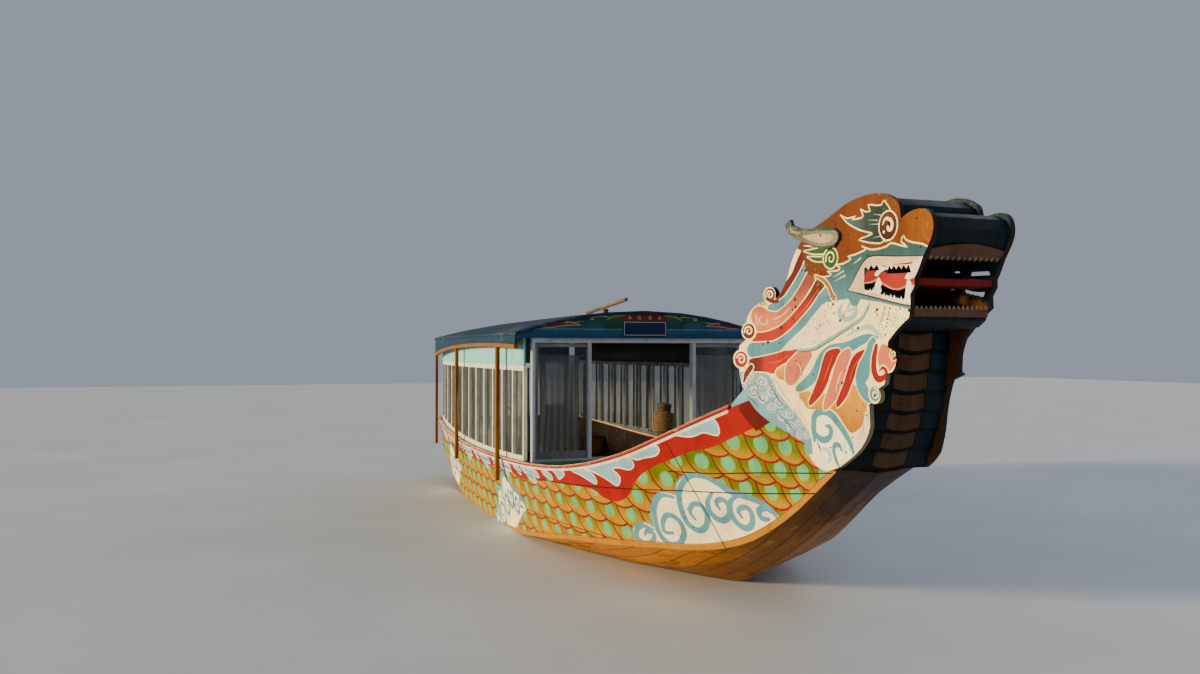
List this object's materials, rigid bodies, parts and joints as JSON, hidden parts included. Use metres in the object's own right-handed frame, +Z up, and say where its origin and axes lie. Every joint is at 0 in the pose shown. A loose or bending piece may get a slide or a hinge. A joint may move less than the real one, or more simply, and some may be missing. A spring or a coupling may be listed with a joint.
{
  "type": "dragon boat",
  "caption": "Planked river passenger boat with a long glazed cabin, sliding front doors and a carved dragon's head at the bow.",
  "frame": {"origin": "amidships on the centreline, at the waterline", "axes": "+X forward, +Y to port, +Z up"},
  "size_m": [13.5876, 3.4444, 4.065],
  "materials": {
    "side_paint": "painted with fish scales, waves and flames, chipped",
    "bottom_paint": "worn bottom paint",
    "cap_paint": "cream paint worn through on the edges",
    "deck_boards": "bare weathered boards",
    "alloy": "mill finish, dulled",
    "glass": "clear, slightly dusty",
    "cyan_paint": "pale blue-green paint",
    "blue_paint": "blue paint, flaking",
    "orange_paint": "orange-brown paint, chipped",
    "green_paint": "green paint with painted scrolls",
    "curtain": "pale woven curtain",
    "dragon_paint": "hand painted dragon, chipped",
    "horn_paint": "cream-grey paint, chipped",
    "teal_paint": "dark blue-green paint",
    "belly_paint": "brown paint, worn",
    "red_paint": "red paint",
    "timber": "weathered timber",
    "rope": "laid rope",
    "plate": "dark blue, blank",
    "iron": "dull paint and rust",
    "bronze": "dull bronze"
  },
  "bodies": {
    "boat": {"hull_bottom": "bottom_paint", "topside_starboard": "side_paint", "topside_port": "side_paint", "gunwale_starboard": "cap_paint", "gunwale_port": "cap_paint", "transom": "blue_paint", "keel": "timber", "foredeck": "deck_boards", "cabin_floor": "deck_boards", "helm_platform": "deck_boards", "engine": "iron", "roof": "blue_paint", "fascia_front": "green_paint", "number_plate": "plate", "valance_starboard": "blue_paint", "valance_port": "blue_paint", "eave_posts_starboard": "orange_paint", "eave_posts_port": "orange_paint", "window_frame_starboard": "alloy", "window_frame_port": "alloy", "window_glass_starboard": "glass", "window_glass_port": "glass", "side_band_starboard": "cyan_paint", "side_band_port": "cyan_paint", "curtains_starboard": "curtain", "curtains_port": "curtain", "front_sill": "green_paint", "front_frame": "alloy", "front_pane_starboard": "glass", "front_pane_port": "glass", "rear_wall": "cyan_paint", "head_board_starboard": "dragon_paint", "head_board_port": "dragon_paint", "horn_starboard": "horn_paint", "horn_port": "horn_paint", "neck_planks": "teal_paint", "crown_planks": "teal_paint", "snout_planks": "teal_paint", "palate": "belly_paint", "tongue": "red_paint", "jaw_planks": "teal_paint", "throat_plates": "belly_paint", "bow_fillet_starboard": "blue_paint", "bow_fillet_port": "blue_paint", "mooring_post": "timber", "mooring_lashing": "rope", "stern_tube": "bronze", "gudgeon_lower": "iron", "gudgeon_upper": "iron", "roof_pole": "timber", "pole_chock": "timber"},
    "door_starboard": {"door_frame_starboard": "alloy", "door_pane_starboard": "glass"},
    "door_port": {"door_frame_port": "alloy", "door_pane_port": "glass"},
    "hatch": {"engine_hatch": "deck_boards"},
    "screw": {"propeller": "bronze"},
    "helm": {"rudder": "timber", "tiller": "timber"}
  },
  "joints": [
    {"name": "door_starboard_slide", "type": "slide", "parent": "boat", "child": "door_starboard", "axis": [0, 1, 0], "range_m": [0, 0.694]},
    {"name": "door_port_slide", "type": "slide", "parent": "boat", "child": "door_port", "axis": [0, -1, 0], "range_m": [0, 0.694]},
    {"name": "engine_hatch_hinge", "type": "hinge", "parent": "boat", "child": "hatch", "pos_m": [-4.957, 0, 0.828], "axis": [0, 1, 0], "range_deg": [0, 85]},
    {"name": "propeller_spin", "type": "hinge", "parent": "boat", "child": "screw", "pos_m": [-5.3, 0, -0.19], "axis": [1, 0, 0], "continuous": true},
    {"name": "rudder_turn", "type": "hinge", "parent": "boat", "child": "helm", "pos_m": [-6.64, 0, 0.5], "axis": [0, 0, 1], "range_deg": [-35, 35]}
  ]
}
